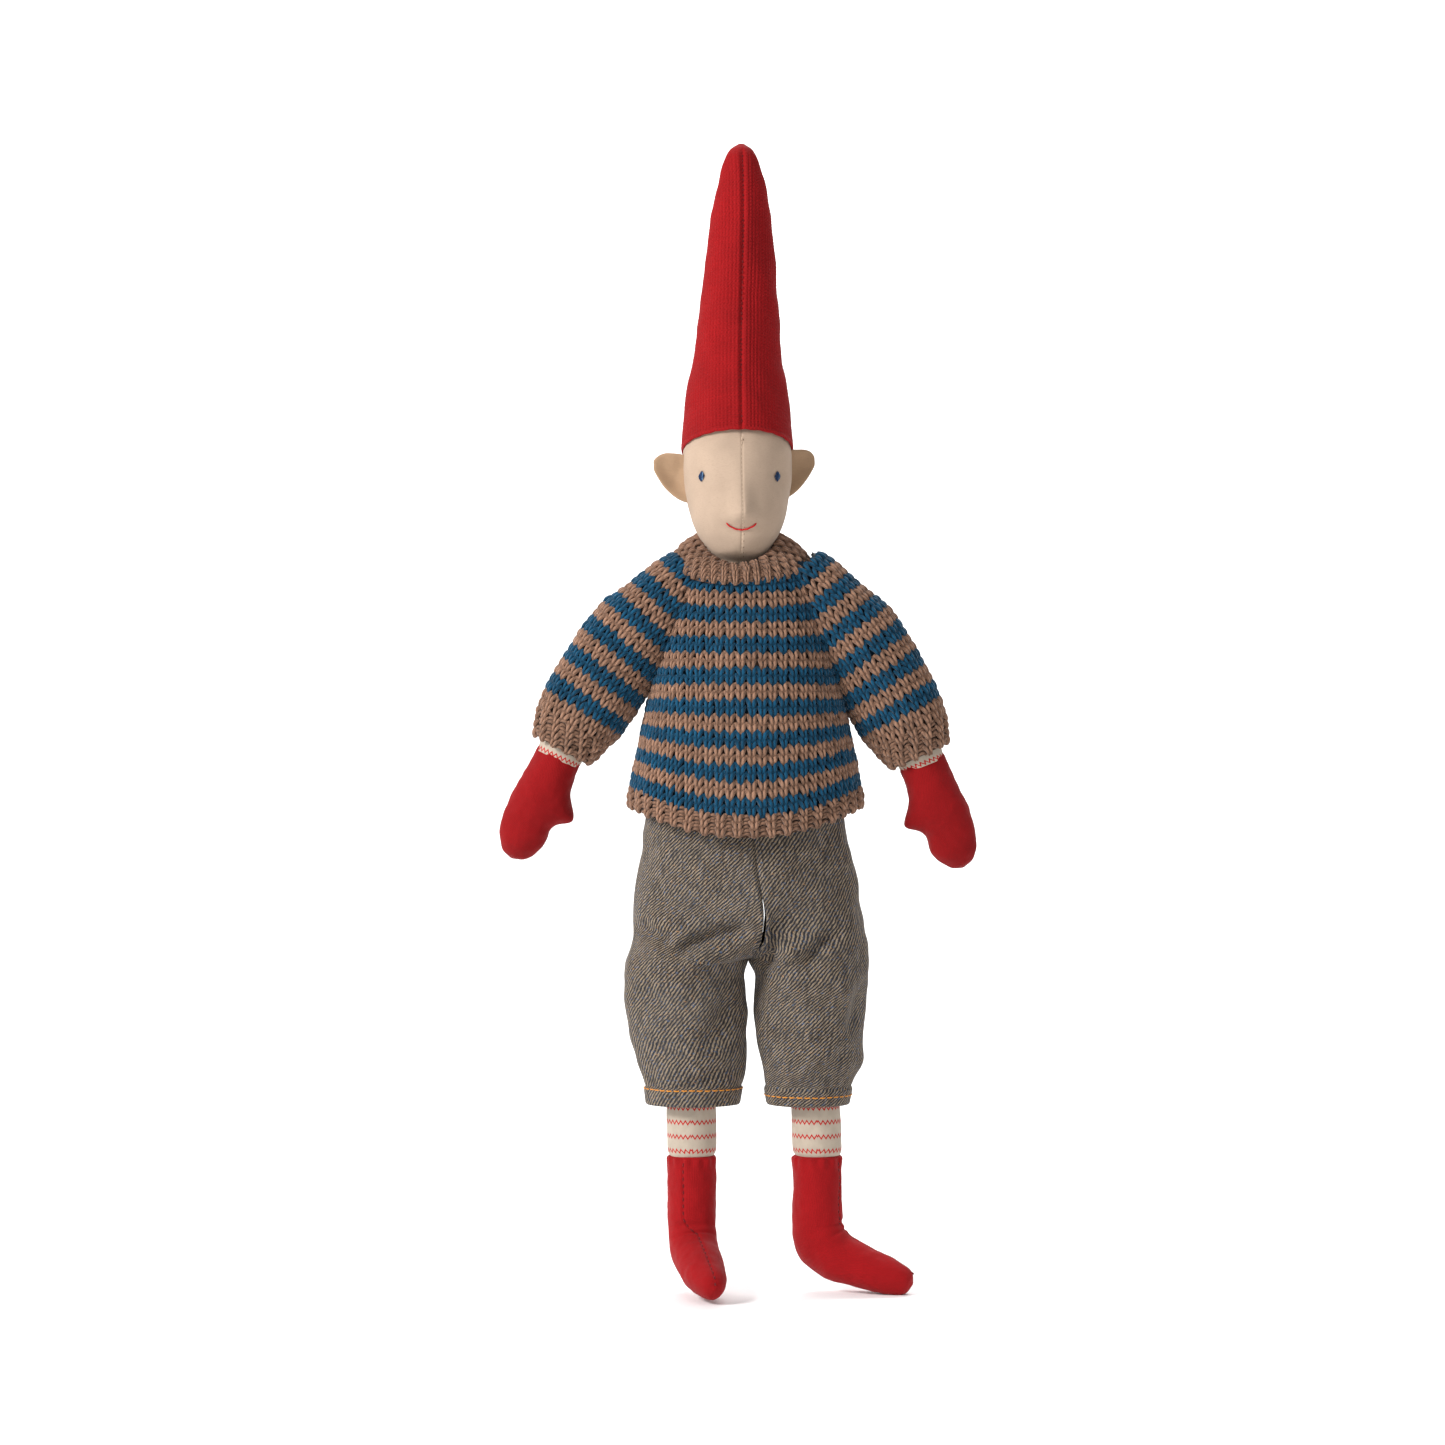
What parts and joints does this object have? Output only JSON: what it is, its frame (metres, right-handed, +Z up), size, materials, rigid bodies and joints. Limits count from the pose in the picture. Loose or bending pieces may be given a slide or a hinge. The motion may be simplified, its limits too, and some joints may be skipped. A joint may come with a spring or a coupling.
{
  "type": "stuffed cloth tomte doll",
  "caption": "Stuffed cloth tomte doll with a tall red hat, linen head, striped knitted jumper, twill breeches, red mittens and boots; head, arms and legs move.",
  "frame": {"origin": "middle of the waist, inside the stuffed body, 200 mm above the lower toe, where the doll is held upright", "axes": "+Z up to the hat's tip, the doll faces -Y, its own left hand is at +X"},
  "size_m": [0.2035, 0.0763, 0.4865],
  "materials": {
    "linen": "plain woven linen",
    "body_cotton": "plain woven cotton",
    "wadding": "polyester wadding",
    "red_knit": "fine machine knit",
    "red_jersey": "plain jersey",
    "zigzag_jersey": "cream jersey with red zigzag rows",
    "striped_knit": "hand knit in two-row blue and brown stripes",
    "brown_knit": "brown hand-knitted rib",
    "twill": "grey-brown flecked twill",
    "elastic": "woven elastic",
    "navy_thread": "embroidery thread",
    "red_thread": "embroidery thread",
    "white_thread": "sewing thread"
  },
  "bodies": {
    "torso": {"torso_front": "body_cotton", "torso_back": "body_cotton", "torso_stuffing": "wadding", "neck_thread": "white_thread", "breeches_front": "twill", "breeches_back": "twill", "waist_elastic": "elastic", "breeches_crotch": "twill", "hip_thread": "white_thread", "jumper_front": "striped_knit", "jumper_back": "striped_knit", "jumper_hem_band": "brown_knit", "jumper_neckband": "brown_knit"},
    "head": {"head_panel_right": "linen", "head_panel_left": "linen", "head_stuffing": "wadding", "hat_panel_right": "red_knit", "hat_panel_left": "red_knit", "hat_stuffing": "wadding", "ear_right": "linen", "ear_left": "linen", "eye_right": "navy_thread", "eye_left": "navy_thread", "mouth_stitching": "red_thread"},
    "shoulder_right": {"shoulder_stitch_right": "white_thread"},
    "arm_right": {"sleeve_right": "striped_knit", "cuff_right": "brown_knit", "arm_right": "zigzag_jersey", "arm_right_stuffing": "wadding", "mitten_right_front": "red_jersey", "mitten_right_back": "red_jersey"},
    "leg_right": {"breeches_leg_right": "twill", "breeches_hem_right": "twill", "leg_right": "zigzag_jersey", "leg_right_stuffing": "wadding", "boot_right_right_half": "red_jersey", "boot_right_left_half": "red_jersey"},
    "shoulder_left": {"shoulder_stitch_left": "white_thread"},
    "arm_left": {"sleeve_left": "striped_knit", "cuff_left": "brown_knit", "arm_left": "zigzag_jersey", "arm_left_stuffing": "wadding", "mitten_left_front": "red_jersey", "mitten_left_back": "red_jersey"},
    "leg_left": {"breeches_leg_left": "twill", "breeches_hem_left": "twill", "leg_left": "zigzag_jersey", "leg_left_stuffing": "wadding", "boot_left_right_half": "red_jersey", "boot_left_left_half": "red_jersey"}
  },
  "joints": [
    {"name": "neck_turn", "type": "hinge", "parent": "torso", "child": "head", "pos_m": [-0.002, 0, 0.109], "axis": [0, 0, 1], "range_deg": [-25, 25], "stiffness_Nm_per_rad": 0.02},
    {"name": "shoulder_swing_right", "type": "hinge", "parent": "torso", "child": "shoulder_right", "pos_m": [-0.032, 0, 0.096], "axis": [-1, 0, 0], "range_deg": [-30, 60]},
    {"name": "shoulder_raise_right", "type": "hinge", "parent": "shoulder_right", "child": "arm_right", "pos_m": [-0.032, 0, 0.096], "axis": [0, 1, 0], "range_deg": [0, 50], "stiffness_Nm_per_rad": 0.03, "springref_deg": 8.59},
    {"name": "hip_swing_right", "type": "hinge", "parent": "torso", "child": "leg_right", "pos_m": [-0.0224, 0, -0.045], "axis": [-1, 0, 0], "range_deg": [-25, 85]},
    {"name": "shoulder_swing_left", "type": "hinge", "parent": "torso", "child": "shoulder_left", "pos_m": [0.035, 0, 0.096], "axis": [-1, 0, 0], "range_deg": [-30, 60]},
    {"name": "shoulder_raise_left", "type": "hinge", "parent": "shoulder_left", "child": "arm_left", "pos_m": [0.035, 0, 0.096], "axis": [0, -1, 0], "range_deg": [0, 50], "stiffness_Nm_per_rad": 0.03, "springref_deg": 8.59},
    {"name": "hip_swing_left", "type": "hinge", "parent": "torso", "child": "leg_left", "pos_m": [0.0284, 0, -0.045], "axis": [-1, 0, 0], "range_deg": [-25, 85]}
  ]
}
